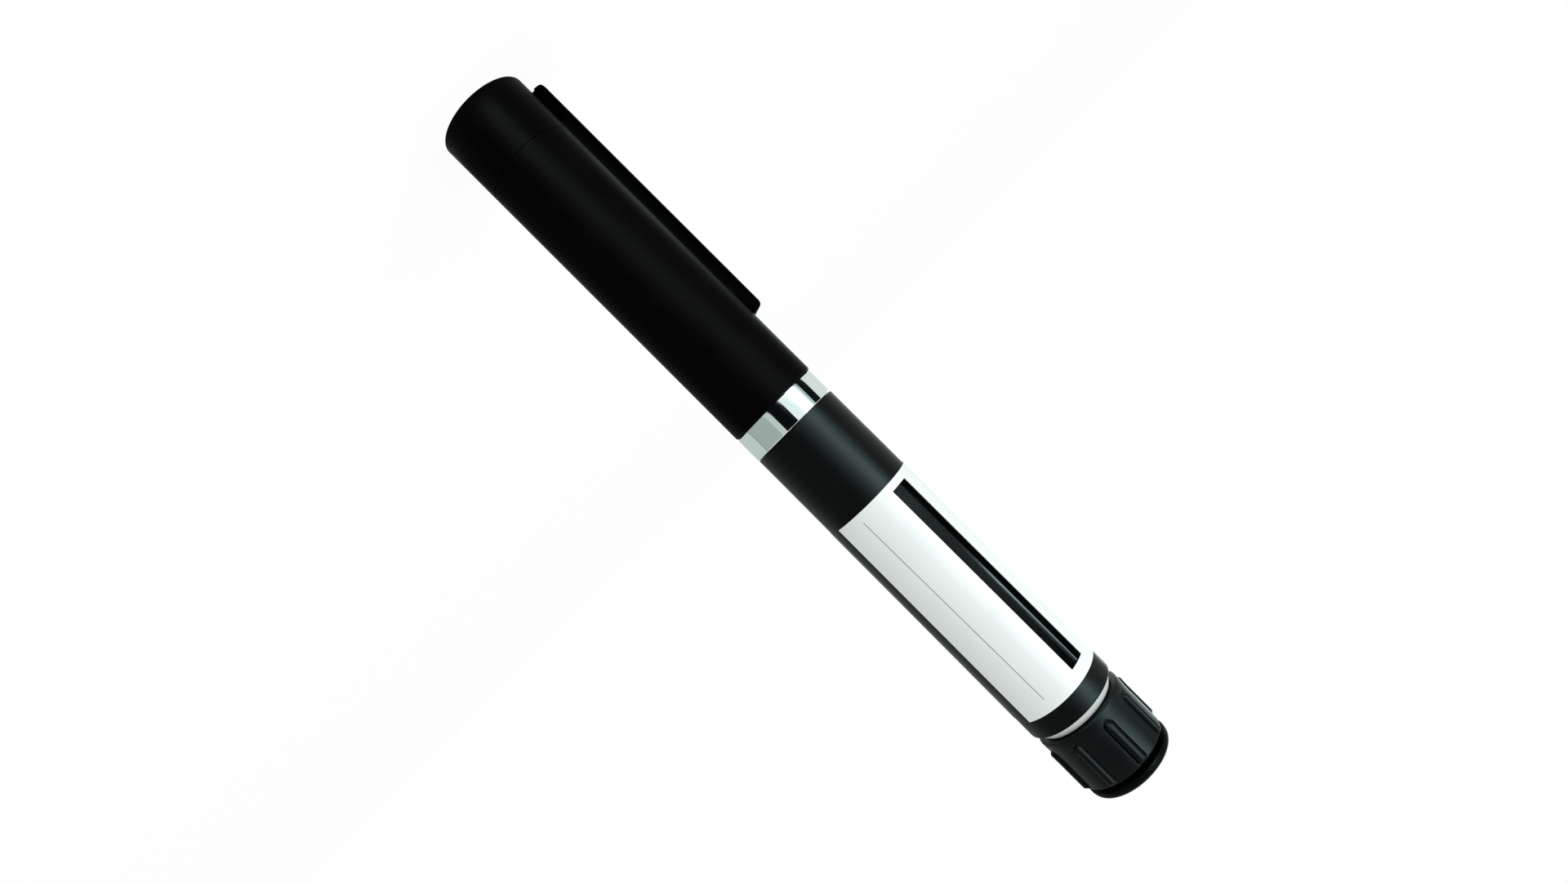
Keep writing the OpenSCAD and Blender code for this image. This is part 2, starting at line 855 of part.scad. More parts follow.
// Ring of four points across the drum's left-hand groove, at an angle measured from the lug
function groove_ring(a) =
    let (z = lug_z + drum_lead * a / 360)
    let (deg = lug_deg - a)
    [
        for (p = [[0, 1], [0, -1], [1, -1], [1, 1]])
            let (r = drum_r - groove_depth + p[0] * (groove_depth + cut))
            [r * cos(deg), r * sin(deg), z + p[1] * groove_w / 2]
    ];

module number_drum() {
    step = 360 / thread_steps;
    low = -360 * groove_turns - groove_end_deg;
    rings = [for (a = [low:step:groove_end_deg]) groove_ring(a)];
    color("#17191a")
        difference() {
            union() {
                tube(drum_r, drum_bore_r, drum_z, drum_end_z);
                tube(drum_r - drum_wall / 2, sleeve_r + run_gap, bulkhead_z, bulkhead_z + bulkhead_h);
                clutch_teeth_on(
                    sleeve_r + 2 * free_gap, drum_bore_r - free_gap, bulkhead_z + bulkhead_h - seat_gap, 1
                );
            }
            swept(rings);
        }
}

module grip_rib(deg) {
    foot_r = knob_r - rib_proud / 2;
    top_r = knob_r + rib_proud;
    reach = foot_r - rib_proud;
    at_deg(deg, 0, rib_z)
        intersection() {
            // Cross-section with sloping flanks
            linear_extrude(height = rib_len)
                polygon([
                    [reach, -rib_foot_w / 2],
                    [foot_r, -rib_foot_w / 2],
                    [top_r + cut, -rib_top_w / 2 + (rib_foot_w - rib_top_w) / 2],
                    [top_r + cut, rib_top_w / 2 - (rib_foot_w - rib_top_w) / 2],
                    [foot_r, rib_foot_w / 2],
                    [reach, rib_foot_w / 2]
                ]);
            // Round top with slanted ends
            rotate_extrude()
                polygon([
                    [0, 0],
                    [knob_r, 0],
                    [top_r, 1.6 * rib_proud],
                    [top_r, rib_len - rib_proud / 2],
                    [top_r - rib_proud / 2, rib_len],
                    [0, rib_len]
                ]);
        }
}

module dial_knob() {
    socket_r = drum_r + seat_gap;
    color("#1b2021")
        difference() {
            union() {
                rotate_extrude()
                    polygon(concat(
                        [[0, knob_z]],
                        arc(skirt_r - knob_edge, knob_z + knob_edge, knob_edge, -90, 0),
                        [[skirt_r, knob_z + skirt_flat_share * skirt_h], [knob_r, rib_z]],
                        arc(knob_r - knob_edge, knob_end_z - knob_edge, knob_edge, 0, 90),
                        [[0, knob_end_z]]
                    ));
                for (i = [0:rib_count - 1])
                    grip_rib(rib_deg + 360 * i / rib_count);
            }
            peg(socket_r, knob_z - cut, knob_web_z);
            peg(knob_web_hole_r, knob_z, knob_end_z);
            peg(knob_well_r, knob_web_z + knob_web_h, knob_end_z + cut);
        }
}

module button_spring() {
    low = spring_z + spring_wire_r + seat_gap;
    high = button_z - spring_wire_r - seat_gap;
    steps = spring_turns * spring_rings;
    rings = [
        for (i = [0:steps])
            let (deg = -360 * i / spring_rings)
            let (z = low + (high - low) * i / steps)
            [
                for (j = [0:spring_sides - 1])
                    let (b = 360 * j / spring_sides)
                    let (r = spring_r + spring_wire_r * cos(b))
                    [r * cos(deg), r * sin(deg), z + spring_wire_r * sin(b)]
            ]
    ];
    color("#aeb4b8")
        swept(rings);
}

module dose_button() {
    rim_top_z = button_end_z - button_crown - button_edge_r;
    color("#161a1a") {
        difference() {
            union() {
                rotate_extrude()
                    polygon(concat(
                        [[0, button_z], [button_r, button_z]],
                        arc(button_r - button_edge_r, rim_top_z, button_edge_r, 0, 90),
                        [[0, button_end_z]]
                    ));
                peg(button_skirt_r, button_skirt_z, button_z + seat_gap);
            }
            peg(button_skirt_r - button_skirt_wall, button_skirt_z - cut, button_z);
        }
        peg(button_stem_r, button_stem_z, button_z + seat_gap);
    }
}

cap_crown();
cap_end_plug();
cap_tube();
cap_liner();
clip();
collar_ring();
barrel();
inner_housing();
window_lens();
label();
end_trim();
cartridge_holder();
cartridge_glass();
crimp_seal();
septum();
cartridge_cushion();
drive_nut();
guide_tube();
stopper();
rod_foot();
plunger_rod();
drive_sleeve();
clutch_ring();
number_drum();
dial_knob();
button_spring();
dose_button();
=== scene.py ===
# Dial-a-dose injection pen, closed, standing on the end of its cap.
# Lengths are in metres, and a value in millimetres is multiplied by MM.
import math

import bmesh
import bpy
from mathutils import Matrix, Vector


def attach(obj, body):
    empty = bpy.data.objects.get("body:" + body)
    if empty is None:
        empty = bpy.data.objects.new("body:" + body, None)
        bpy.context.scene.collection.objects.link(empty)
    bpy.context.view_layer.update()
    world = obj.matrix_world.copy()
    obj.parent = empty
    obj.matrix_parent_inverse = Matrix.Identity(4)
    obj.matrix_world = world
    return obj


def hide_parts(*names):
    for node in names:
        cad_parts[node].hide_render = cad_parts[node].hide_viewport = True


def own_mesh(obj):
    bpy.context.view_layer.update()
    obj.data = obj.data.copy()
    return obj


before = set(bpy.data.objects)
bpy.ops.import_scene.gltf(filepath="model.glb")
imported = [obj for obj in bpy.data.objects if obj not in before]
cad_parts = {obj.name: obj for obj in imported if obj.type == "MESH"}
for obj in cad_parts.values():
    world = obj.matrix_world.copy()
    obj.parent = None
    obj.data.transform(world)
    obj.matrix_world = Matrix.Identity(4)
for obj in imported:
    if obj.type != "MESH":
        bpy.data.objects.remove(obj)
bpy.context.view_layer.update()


# Cap: a crown that carries the clip, with a round plug in its closed end, and a tapered tube.
# All three are injection-moulded in near-black ABS, in a mould with a fine spark-eroded grain.
# The crown's neck is glued into the tube.
MM = 0.001
HANDLED_MM = 9  # width of the patches that handling leaves duller or shinier
GLOSS_SPREAD = 0.04


def linear(hex_colour):
    """A colour written as an sRGB hex value, turned linear for the shaders."""
    channels = [int(hex_colour[i:i + 2], 16) / 255 for i in (1, 3, 5)]
    return [c / 12.92 if c <= 0.04045 else ((c + 0.055) / 1.055) ** 2.4 for c in channels] + [1.0]


def add_node(owner, kind, inputs, **settings):
    """Adds a node. An input is a value, or a socket of another node to link from."""
    node = owner.node_tree.nodes.new(kind)
    for name, value in settings.items():
        setattr(node, name, value)
    for name, value in inputs.items():
        if isinstance(value, bpy.types.NodeSocket):
            owner.node_tree.links.new(value, node.inputs[name])
        else:
            node.inputs[name].default_value = value
    return node


def new_material(name):
    """An empty node material and the socket that takes its surface."""
    material = bpy.data.materials.new(name)
    material.use_nodes = True
    material.node_tree.nodes.clear()
    output = add_node(material, "ShaderNodeOutputMaterial", {})
    return material, output.inputs["Surface"]


def moulded(name, colour, worn, roughness, grain_mm, relief_mm, **shader_inputs):
    """A moulded surface: grain as bump, and a colour and gloss that vary a little across it.

    Real mould grain, about 0.1 mm wide, is too fine to show, so grain_mm draws it coarser.
    """
    material, surface = new_material(name)
    place = add_node(material, "ShaderNodeTexCoord", {}).outputs["Object"]
    grain = add_node(
        material, "ShaderNodeTexNoise",
        {"Vector": place, "Scale": 1 / (grain_mm * MM), "Detail": 2.0, "Roughness": 0.6},
    )
    handling = add_node(
        material, "ShaderNodeTexNoise",
        {"Vector": place, "Scale": 1 / (HANDLED_MM * MM), "Detail": 4.0, "Roughness": 0.55},
    )
    tint = add_node(
        material, "ShaderNodeMapRange",
        {
            "Value": handling.outputs["Fac"], "From Min": 0.4, "From Max": 0.75,
            "To Min": 0.0, "To Max": 1.0,
        },
    )
    base = add_node(
        material, "ShaderNodeMix",
        {"Factor": tint.outputs["Result"], "A": linear(colour), "B": linear(worn)},
        data_type="RGBA",
    )
    gloss = add_node(
        material, "ShaderNodeMapRange",
        {
            "Value": handling.outputs["Fac"], "From Min": 0.3, "From Max": 0.7,
            "To Min": roughness - GLOSS_SPREAD, "To Max": roughness + GLOSS_SPREAD,
        },
    )
    relief = add_node(
        material, "ShaderNodeBump",
        {"Height": grain.outputs["Fac"], "Strength": 0.5, "Distance": relief_mm * MM},
    )
    shader = add_node(
        material, "ShaderNodeBsdfPrincipled",
        {
            "Base Color": base.outputs["Result"], "Roughness": gloss.outputs["Result"],
            "Normal": relief.outputs["Normal"], **shader_inputs,
        },
    )
    material.node_tree.links.new(shader.outputs["BSDF"], surface)
    return material


def dress(material, *nodes):
    """Gives CAD nodes, which are as they should be in shape, their material."""
    for name in nodes:
        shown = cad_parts[name]
        shown.data.materials.clear()
        shown.data.materials.append(material)


# Satin ABS: the grain scatters the light, which leaves near-black with one broad, faint highlight.
satin_abs = moulded(
    "satin_black_abs", "#030303", "#050505", 0.44, 0.35, 0.003,
    **{"Specular IOR Level": 0.015, "Specular Tint": linear("#ffe6e2")},
)
dress(satin_abs, "cap_crown", "cap_end_plug", "cap_tube")


# Cap liner: an inner sleeve with guide ribs for the cartridge holder, seen in the cap's mouth.
# It is injection-moulded in dark polypropylene and pushed into the tube.
# Polypropylene is greyer than ABS and has a waxy, even sheen.
dark_polypropylene = moulded(
    "dark_polypropylene", "#232626", "#2b2e2e", 0.48, 0.5, 0.003, IOR=1.49
)
dress(dark_polypropylene, "cap_liner")


# Pocket clip: moulded in one piece in black ABS.
# Its foot sits in the crown's pocket, and the bar springs on it.
# Its colour, a shade darker than the cap's, and its almost absent gloss are painted shade, which
# keeps the bar the darkest line on the cap.
clip_abs_painted_shade = moulded(
    "clip_abs_painted_shade", "#010101", "#020202", 0.45, 0.5, 0.002, **{"Specular IOR Level": 0.002}
)
dress(clip_abs_painted_shade, "clip")


# Collar ring: a short brass tube, nickel and chrome plated.
# It is pressed on the pen's spigot, against the end of the barrel.
TUBE_WAVE_MM = 6  # the polished tube's waviness, which the plating follows


def plated(name, colour, roughness):
    """Bright metal, with the faintest waviness where it was drawn or polished."""
    material, surface = new_material(name)
    place = add_node(material, "ShaderNodeTexCoord", {}).outputs["Object"]
    wave = add_node(
        material, "ShaderNodeTexNoise",
        {"Vector": place, "Scale": 1 / (TUBE_WAVE_MM * MM), "Detail": 1.0},
    )
    relief = add_node(
        material, "ShaderNodeBump",
        {"Height": wave.outputs["Fac"], "Strength": 0.3, "Distance": 0.01 * MM},
    )
    shader = add_node(
        material, "ShaderNodeBsdfPrincipled",
        {
            "Base Color": linear(colour), "Metallic": 1.0, "Roughness": roughness,
            "Normal": relief.outputs["Normal"],
        },
    )
    material.node_tree.links.new(shader.outputs["BSDF"], surface)
    return material


# Bright chrome mirrors the cards round the pen in sharp dark and light bands.
bright_chrome = plated("bright_chrome", "#eef3f1", 0.05)
dress(bright_chrome, "collar_ring")


# Barrel: the tapered outer shell with the window slot, injection-moulded in black polycarbonate.
# It is pushed over the inner housing and carries the label.
# Polycarbonate is glossier than the cap, and light from the side shows a faint green cast on it.
black_polycarbonate = moulded(
    "black_polycarbonate", "#020303", "#030505", 0.39, 0.4, 0.002, **{"Specular IOR Level": 0.115}
)
dress(black_polycarbonate, "barrel")


# Inner housing: the tube inside the barrel, with the spigot that the cap slides on at its front end
# and a lug in its bore that the number drum runs on. It is moulded in dark acetal.
# Acetal has a soft sheen, and stands out as dark grey beside the barrel's black.
dark_acetal = moulded("dark_acetal", "#303434", "#383c3c", 0.4, 0.5, 0.003)
dress(dark_acetal, "inner_housing")


# Label: self-adhesive white polypropylene film wrapped round the barrel, with a cut-out round the
# window and a bare strip between its edges at the back. It is printed with two thin grey rules.
BARREL_FRONT_R, BARREL_FLARE, BARREL_Z, BARREL_LEN = 8.51, 0.24, 74.65, 65.75
WINDOW_DEG, WINDOW_HALF, WINDOW_LOW, WINDOW_END = 248.6, 1.8, 93.4, 134.1
LABEL_LOW, LABEL_END, LABEL_FROM_DEG, LABEL_TO_DEG = 91.9, 136.5, 19, 341
FILM_BACK, FILM_FACE = 0.02, 0.12  # over the barrel
CUT_GAP, CUT_SPAN_DEG = 0.08, 12
MIDDLE_Z = 114.0
# Each rule's azimuth at MIDDLE_Z, its lean in degrees for each millimetre up, and its two ends.
RULES = ((208.0, 0.0, 92.8, 135.2), (306.5, -0.08, 93.5, 134.2))
RULE_HALF, ON_RULE_DEG = 0.06, 0.1
COLUMN_STEP_DEG, COLUMN_ROOM_DEG = 2, 2.6


def barrel_r(z):
    """Radius of the tapered barrel at a height, in millimetres like the height."""
    return BARREL_FRONT_R + BARREL_FLARE * (z - BARREL_Z) / BARREL_LEN


def polar(radius, deg, z):
    """A point in metres from a radius and a height in millimetres."""
    angle = math.radians(deg)
    return (radius * math.cos(angle) * MM, radius * math.sin(angle) * MM, z * MM)


def add_object(name, data):
    """Puts a mesh, a camera or a lamp in the scene."""
    thing = bpy.data.objects.new(name, data)
    bpy.context.scene.collection.objects.link(thing)
    return thing


def add_mesh(name, points, faces):
    """Makes a mesh from its points and faces, and puts it in the scene."""
    mesh = bpy.data.meshes.new(name)
    mesh.from_pydata(points, [], faces)
    mesh.update()
    return add_object(name, mesh)


def shade_smooth(mesh, limit_deg=35):
    """Shades a mesh smooth across edges up to an angle."""
    for face in mesh.polygons:
        face.use_smooth = True
    mesh.set_sharp_from_angle(angle=math.radians(limit_deg))


def column_deg(column, z):
    """Where a column of the mesh stands at a height. Cut edges and rules keep their width."""
    centre_deg, lean, offset = column
    return centre_deg + lean * (z - MIDDLE_Z) + math.degrees(math.asin(offset / barrel_r(z)))


def on_a_rule(deg, z):
    """Whether a place on the label is printed."""
    return any(
        abs(deg - rule_deg - lean * (z - MIDDLE_Z)) < ON_RULE_DEG and low < z < high
        for rule_deg, lean, low, high in RULES
    )


cut_half = WINDOW_HALF + CUT_GAP
cut_low, cut_end = WINDOW_LOW - CUT_GAP, WINDOW_END + CUT_GAP
strips = [(WINDOW_DEG, 0.0, cut_half)] + [(rule[0], rule[1], RULE_HALF) for rule in RULES]
columns = [(deg, lean, offset) for deg, lean, half in strips for offset in (-half, half)]
columns += [
    (deg, 0.0, 0.0) for deg in range(LABEL_FROM_DEG, LABEL_TO_DEG + 1, COLUMN_STEP_DEG)
    if all(abs(deg - column_deg(edge, MIDDLE_Z)) > COLUMN_ROOM_DEG for edge in columns)
]
columns.sort(key=lambda column: column_deg(column, MIDDLE_Z))
rows = sorted({LABEL_LOW, LABEL_END, cut_low, cut_end, *(z for rule in RULES for z in rule[2:])})
label_points = [
    polar(barrel_r(z) + rise, column_deg(column, z), z)
    for rise in (FILM_BACK, FILM_FACE) for z in rows for column in columns
]
kept = {}
for j, (low, high) in enumerate(zip(rows, rows[1:])):
    z = (low + high) / 2
    for i, (left, right) in enumerate(zip(columns, columns[1:])):
        deg = (column_deg(left, z) + column_deg(right, z)) / 2
        in_cut = abs(deg - WINDOW_DEG) < CUT_SPAN_DEG and cut_low < z < cut_end
        if not in_cut:
            kept[i, j] = on_a_rule(deg, z)
across, layer = len(columns), len(columns) * len(rows)
label_faces, label_print = [], []
for (i, j), inked in kept.items():
    near = [j * across + i, j * across + i + 1, (j + 1) * across + i + 1, (j + 1) * across + i]
    label_faces += [[layer + k for k in near], near[::-1]]
    label_print += [int(inked), 0]
    for side, (di, dj) in enumerate(((0, -1), (1, 0), (0, 1), (-1, 0))):
        if (i + di, j + dj) not in kept:
            a, b = near[side], near[(side + 1) % 4]
            label_faces.append([a, b, layer + b, layer + a])
            label_print.append(0)
label_piece = add_mesh("label_film", label_points, label_faces)
shade_smooth(label_piece.data)
# The film is smooth and a little glossy, which keeps it an even, cool white.
film = moulded(
    "white_label_film", "#eef6f4", "#f1f8f6", 0.38, 1.2, 0.001, **{"Specular IOR Level": 0.2}
)
# The ink lies thin on the film: a fine grey line, a little duller than what is round it.
rule_ink = moulded(
    "grey_rule_ink", "#66716f", "#6e7977", 0.45, 0.4, 0.001, **{"Specular IOR Level": 0.24}
)
label_piece.data.materials.append(film)
label_piece.data.materials.append(rule_ink)
for face, ink in zip(label_piece.data.polygons, label_print):
    face.material_index = ink
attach(label_piece, "pen")
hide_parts("label")


# Window lens: a bar moulded in smoked polycarbonate and welded in the barrel's slot.
# Its face is two facets that meet in a ridge, which rises softly along the bar.
LENS_GAP, LENS_BACK = 0.03, 7.06
RIDGE_RISE, RIDGE_FROM, RIDGE_RUN, RIDGE_STEPS = 0.08, 104, 12, 4
CREST_SIDE, CREST_RISE, FLUSH_SIDE = -0.5, 0.032, -0.1
FACET_FALL, NARROW_FACET_FALL = 0.08, 0.06  # for each millimetre across
FACET_STEPS, FACET_STEP = 9, 0.1


def lens_ring(z):
    """Outline of the bar at a height, as places across it and out from the pen's axis."""
    half = WINDOW_HALF - LENS_GAP
    flush = math.sqrt(barrel_r(z) ** 2 - WINDOW_HALF ** 2)
    ridge = RIDGE_RISE * min(1, max(0, (z - RIDGE_FROM) / RIDGE_RUN))
    crest = flush + ridge + CREST_RISE
    ring = [(-half, LENS_BACK), (-half, crest - NARROW_FACET_FALL * (half + CREST_SIDE))]
    for k in range(FACET_STEPS + 1):
        x = CREST_SIDE + FACET_STEP * k
        facet = flush - FACET_FALL * (x - FLUSH_SIDE)
        ring.append((x, facet + ridge * (1 - k / FACET_STEPS) ** 2))
    return ring + [(half, flush - FACET_FALL * (half - FLUSH_SIDE)), (half, LENS_BACK)]


ridge_rows = [RIDGE_FROM + RIDGE_RUN * k / RIDGE_STEPS for k in range(RIDGE_STEPS + 1)]
lens_rows = [WINDOW_LOW + LENS_GAP, *ridge_rows, WINDOW_END - LENS_GAP]
side_x, side_y = -math.sin(math.radians(WINDOW_DEG)), math.cos(math.radians(WINDOW_DEG))
lens_points, lens_faces = [], []
for z in lens_rows:
    for across_mm, out_mm in lens_ring(z):
        lens_points.append((
            (side_x * across_mm + side_y * out_mm) * MM,
            (side_y * across_mm - side_x * out_mm) * MM,
            z * MM,
        ))
ring_len = len(lens_points) // len(lens_rows)
for j in range(len(lens_rows) - 1):
    for k in range(ring_len):
        here, there = j * ring_len + k, j * ring_len + (k + 1) % ring_len
        lens_faces.append([here, there, ring_len + there, ring_len + here])
last_ring = len(lens_points) - ring_len
lens_faces += [list(range(ring_len))[::-1], list(range(last_ring, len(lens_points)))]
lens_piece = add_mesh("smoked_lens", lens_points, lens_faces)
shade_smooth(lens_piece.data)
# Smoked polycarbonate is so dark and glossy that only the light along its ridge shows on it.
smoked = moulded(
    "smoked_polycarbonate", "#020404", "#030505", 0.12, 2.0, 0.0001, **{"Specular IOR Level": 0.3}
)
lens_piece.data.materials.append(smoked)
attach(lens_piece, "pen")
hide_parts("window_lens")


# End trim: the bevelled ring that closes the barrel at the knob.
# It is turned from aluminium and pressed on the barrel's end.
# Its near-white colour, with little metal in it, is painted sheen: it stands for the light that
# bright aluminium mirrors, and shows as a pale, even band that mirrors nothing.
trim_painted_sheen = moulded("aluminium_trim_painted_sheen", "#e6edeb", "#eaf0ee", 0.35, 0.6, 0.003, Metallic=0.15)
dress(trim_painted_sheen, "end_trim")


# Cartridge holder: moulded in clear copolyester, with two viewing slots and a nose for the needle.
# The CAD's nose is plain. Here its wall is taken out of a copy of the mesh, and one that carries
# the needle's thread is set in.
NOSE_R, NOSE_LOW, NOSE_END = 4.6, 17.4, 24.0
THREAD_PITCH, THREAD_DEEP, THREAD_ROWS = 1.1, 0.3, 66
THREAD_RUN_IN, THREAD_RUN_OUT = 0.4, 0.7
FLANK_SHARE, GROOVE_FLOOR = 0.28, 0.3
AT_WALL = 0.02


def smooth_share(x):
    """0 below 0 and 1 above 1, with a smooth rise between."""
    x = min(1.0, max(0.0, x))
    return x * x * (3 - 2 * x)


def is_nose_wall(face):
    """Whether a face belongs to the nose's plain outer wall."""
    heights = [vert.co.z / MM for vert in face.verts]
    on_wall = all(abs(vert.co.xy.length / MM - NOSE_R) < AT_WALL for vert in face.verts)
    return on_wall and max(heights) - min(heights) > 1 and max(heights) < NOSE_END + AT_WALL


def bearing(vert):
    """Angle of a point round the pen's axis, in radians."""
    return math.atan2(vert.co.y, vert.co.x)


holder = bmesh.new()
holder.from_mesh(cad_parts["cartridge_holder"].data)
bmesh.ops.remove_doubles(holder, verts=holder.verts, dist=0.0001 * MM)
nose_wall = [face for face in holder.faces if is_nose_wall(face)]
rims = {vert for face in nose_wall for vert in face.verts}
low_rim, end_rim = [
    sorted((vert for vert in rims if abs(vert.co.z / MM - z) < AT_WALL), key=bearing)
    for z in (NOSE_LOW, NOSE_END)
]
assert len(low_rim) == len(end_rim) > 20
bmesh.ops.delete(holder, geom=nose_wall, context="FACES_KEEP_BOUNDARY")
thread_rows = [low_rim]
for k in range(1, THREAD_ROWS):
    z = NOSE_LOW + (NOSE_END - NOSE_LOW) * k / THREAD_ROWS
    run_in = smooth_share((z - NOSE_LOW) / THREAD_RUN_IN)
    fade = run_in * smooth_share((NOSE_END - z) / THREAD_RUN_OUT)
    row = []
    for vert in low_rim:
        turn = bearing(vert) / (2 * math.pi)
        phase = (z / THREAD_PITCH - turn) % 1.0
        crest = smooth_share(abs(phase - 0.5) / FLANK_SHARE - GROOVE_FLOOR)
        r = NOSE_R - THREAD_DEEP * fade * (1 - crest)
        row.append(holder.verts.new(polar(r, 360 * turn, z)))
    thread_rows.append(row)
thread_rows.append(end_rim)
for lower, upper in zip(thread_rows, thread_rows[1:]):
    for i in range(len(lower)):
        near = (i + 1) % len(lower)
        holder.faces.new((lower[i], lower[near], upper[near], upper[i]))
holder_mesh = bpy.data.meshes.new("threaded_holder")
holder.to_mesh(holder_mesh)
holder.free()
shade_smooth(holder_mesh)
holder_piece = add_object("threaded_holder", holder_mesh)
# Copolyester is clear with a faint grey cast, so that the glass and the stopper show through it.
clear_copolyester = moulded(
    "clear_copolyester", "#eef4f3", "#eef4f3", 0.1, 2.0, 0.001, **{"Transmission Weight": 0.9}
)
holder_piece.data.materials.append(clear_copolyester)
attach(holder_piece, "pen")
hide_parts("cartridge_holder")


# Cartridge: a tube drawn in borosilicate glass with a rubber stopper in it, closed by a rubber disc
# under crimped aluminium. A rubber ring behind it presses it forward.
# Borosilicate glass is colourless, and smoother and clearer than the holder round it.
borosilicate = moulded(
    "borosilicate_glass", "#f4faf8", "#f4faf8", 0.02, 2.0, 0.001, **{"Transmission Weight": 1.0}
)
dress(borosilicate, "cartridge_glass")
# Rolled aluminium shows light and dark, but no clear reflections.
aluminium = plated("crimped_aluminium", "#cfd2d4", 0.3)
dress(aluminium, "crimp_seal")
# Bromobutyl rubber is dull. The disc is brick red, and the stopper and ring are grey.
septum_rubber = moulded("red_brown_rubber", "#8f4a3a", "#97503f", 0.7, 0.3, 0.004)
dress(septum_rubber, "septum")
grey_rubber = moulded("grey_bromobutyl_rubber", "#565c5e", "#5f6668", 0.65, 0.3, 0.004)
dress(grey_rubber, "cartridge_cushion", "stopper")


# Drive: nut, lead screw with its foot, guide tube, sleeve, clutch ring and number drum, which run in
# each other's threads and keyways. All are moulded in acetal, which runs dry on itself.
# Acetal has a soft, milky sheen in its natural white and in grey, and a deeper one in black.
white_acetal = moulded("white_acetal", "#e4e6e2", "#e9eae6", 0.38, 0.4, 0.003)
dress(white_acetal, "drive_nut", "rod_foot", "plunger_rod")
grey_acetal = moulded("grey_acetal", "#b4bcc2", "#bcc3c8", 0.38, 0.4, 0.003)
dress(grey_acetal, "guide_tube", "drive_sleeve", "clutch_ring")
black_acetal = moulded("black_acetal", "#121415", "#17191a", 0.4, 0.4, 0.003)
dress(black_acetal, "number_drum")


# Dial knob: moulded in black ABS and snapped on the drum's end. Its skirt runs down to the end trim,
# and eight grip ribs with rounded noses stand on it, each in a fine channel.
KNOB_Z, RIB_Z, KNOB_END_Z = 142.17, 143.92, 152.92
SKIRT_R, KNOB_R, KNOB_EDGE = 8.5, 8.33, 0.3
SKIRT_TAPER = ((0.7, 0.0), (1.05, 0.01), (1.38, 0.03))  # height over KNOB_Z, and how far in
TAPER_END_Z, TAPER_LEN = 146.2, 3.3
SOCKET_R, WELL_R, WEB_HOLE_R, WEB_Z, WEB_H = 6.9, 6.88, 3.0, 147.09, 1.2
RIB_COUNT, RIB_DEG, RIB_HEIGHT, RIB_HALF, RIB_TOP_R = 8, 275.5, 0.62, 0.78, 8.955
RIB_SQUARENESS, RIB_SHOULDER = 2.4, 0.62
NOSE_GAP, NOSE_SHARE, NOSE_RISE_LEN = 0.05, 0.45, 1.2
RIB_STOP, RIB_STOP_LEN, RIB_SINK, RIB_SINK_LEN = 0.27, 0.06, 0.75, 0.4
CHANNEL_W, CHANNEL_DEEP, CHANNEL_MIDDLE, CHANNEL_REACH = 0.32, 0.2, 0.4, 0.6


def grip_rise(side_mm, z):
    """How far the knob stands over its plain form, at a distance from a rib's middle line."""
    nose_z = RIB_Z + NOSE_GAP + RIB_HALF
    away = math.hypot(side_mm, z - nose_z) if z < nose_z else abs(side_mm)
    crown = max(0.0, 1 - (away / RIB_HALF) ** RIB_SQUARENESS) ** RIB_SHOULDER
    crown *= min(1.0, NOSE_SHARE + max(0.0, z - RIB_Z) / NOSE_RISE_LEN)
    stop = smooth_share((KNOB_END_Z - RIB_STOP - z) / RIB_STOP_LEN)
    sink = 1 - 0.5 * smooth_share((z - KNOB_END_Z + RIB_SINK) / RIB_SINK_LEN)
    from_middle = away - RIB_HALF - CHANNEL_MIDDLE * CHANNEL_W
    channel = max(0.0, 1 - abs(from_middle / (CHANNEL_REACH * CHANNEL_W)))
    return (RIB_HEIGHT * crown - CHANNEL_DEEP * smooth_share(channel)) * (stop * sink)


def rounded_edge(r, z, radius, from_deg, to_deg, steps=5):
    """Points of a rounded edge in a turned profile."""
    turns = [math.radians(from_deg + (to_deg - from_deg) * k / steps) for k in range(steps + 1)]
    return [(r + radius * math.cos(a), z + radius * math.sin(a)) for a in turns]


# Rows stand close together over the ribs' noses and far ends, and columns over the ribs' flanks.
grip_rows = [RIB_Z - 0.1 + 0.07 * k for k in range(17)]
grip_rows += [145.4, 146.2, 147.5, 149.0, 150.5, 151.7, 152.17, 152.27, 152.37, 152.47, 152.57]
half_sides = [
    0, 0.2, 0.36, 0.48, 0.58, 0.66, 0.72, 0.76, 0.79,
    0.84, 0.9, 0.96, 1.02, 1.08, 1.16, 1.4, 1.9, 2.6,
]
sides_mm = [-x for x in half_sides[:0:-1]] + half_sides + [math.pi * KNOB_R / RIB_COUNT]
outer = rounded_edge(SKIRT_R - KNOB_EDGE, KNOB_Z + KNOB_EDGE, KNOB_EDGE, -90, 0)
outer += [(SKIRT_R - inward, KNOB_Z + up) for up, inward in SKIRT_TAPER]
outer += [
    (KNOB_R + (SKIRT_R - KNOB_R) * smooth_share((TAPER_END_Z - z) / TAPER_LEN), z)
    for z in grip_rows
]
outer += rounded_edge(KNOB_R - KNOB_EDGE, KNOB_END_Z - KNOB_EDGE, KNOB_EDGE, 0, 90)
inner = [
    (WELL_R, KNOB_END_Z), (WELL_R, WEB_Z + WEB_H), (WEB_HOLE_R, WEB_Z + WEB_H),
    (WEB_HOLE_R, WEB_Z), (SOCKET_R, WEB_Z), (SOCKET_R, KNOB_Z),
]
knob_points, knob_faces = [], []
for rib in range(RIB_COUNT):
    for side_mm in sides_mm:
        deg = RIB_DEG + 360 * rib / RIB_COUNT + math.degrees(side_mm / KNOB_R)
        knob_points += [
            polar(min(r + grip_rise(side_mm, z), RIB_TOP_R), deg, z) for r, z in outer
        ]
        knob_points += [polar(r, deg, z) for r, z in inner]
